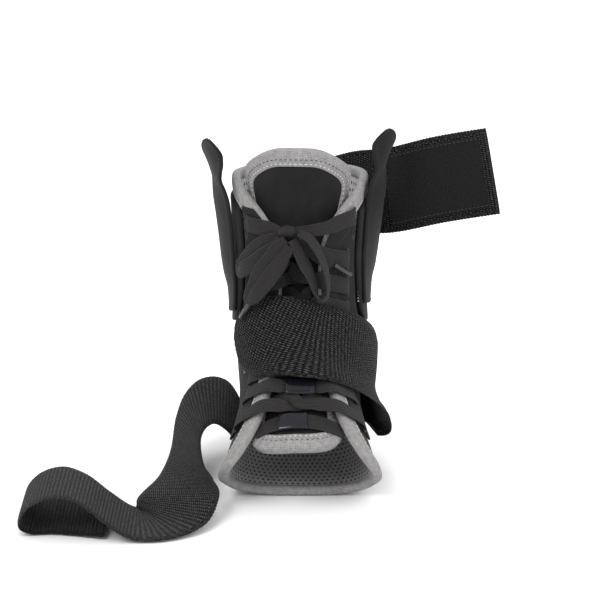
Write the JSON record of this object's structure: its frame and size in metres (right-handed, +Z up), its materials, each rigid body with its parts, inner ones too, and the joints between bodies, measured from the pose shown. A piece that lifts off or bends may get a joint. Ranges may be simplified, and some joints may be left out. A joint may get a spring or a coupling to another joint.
{
  "type": "ankle brace",
  "caption": "Lace-up cloth ankle brace with a knitted tongue, black stay pockets and three wide webbing straps, standing on its sole with one strap closed and two undone.",
  "frame": {"origin": "Middle of the whole model's footprint, on the surface that the brace stands on.", "axes": "+X runs across the foot from the loose strap's side to the closed strap's side, +Y from the toes to the heel, +Z up the leg."},
  "size_m": [0.2696, 0.2132, 0.1979],
  "materials": {
    "spacer_mesh": "matte",
    "edge_binding": "matte",
    "tongue_cloth": "matte",
    "panel_cloth": "matte",
    "black_cloth": "matte",
    "lace_cord": "satin",
    "loop_webbing": "matte",
    "hook_cloth": "matte",
    "keeper_plastic": "gloss",
    "clear_plastic": "gloss"
  },
  "bodies": {
    "root": {"body": "spacer_mesh", "edge_tape": "edge_binding", "heel_tape": "edge_binding", "tongue": "tongue_cloth", "tongue_binding": "edge_binding", "tongue_panel": "panel_cloth", "facing_right": "black_cloth", "facing_left": "black_cloth", "pocket_right": "black_cloth", "flap_right": "black_cloth", "pocket_left": "black_cloth", "flap_left": "black_cloth", "lace_right_1": "lace_cord", "lace_left_1": "lace_cord", "lace_right_2": "lace_cord", "lace_left_2": "lace_cord", "lace_right_3": "lace_cord", "lace_left_3": "lace_cord", "lace_right_4": "lace_cord", "lace_left_4": "lace_cord", "lace_right_5": "lace_cord", "lace_left_5": "lace_cord", "lace_right_6": "lace_cord", "lace_left_6": "lace_cord", "lace_right_7": "lace_cord", "lace_left_7": "lace_cord", "lace_right_8": "lace_cord", "lace_left_8": "lace_cord", "lace_bar": "lace_cord", "keeper_1": "keeper_plastic", "keeper_2": "keeper_plastic", "strap_closed": "loop_webbing", "strap_loose": "loop_webbing", "strap_top": "loop_webbing", "hook_patch": "hook_cloth", "bow_knot": "lace_cord", "lace_right_top": "lace_cord", "lace_left_top": "lace_cord", "bow_left": "lace_cord", "bow_lower": "lace_cord", "bow_right": "lace_cord", "lace_end_left": "lace_cord", "lace_end_right": "lace_cord", "aglet_right": "clear_plastic", "aglet_left": "clear_plastic"}
  },
  "joints": []
}
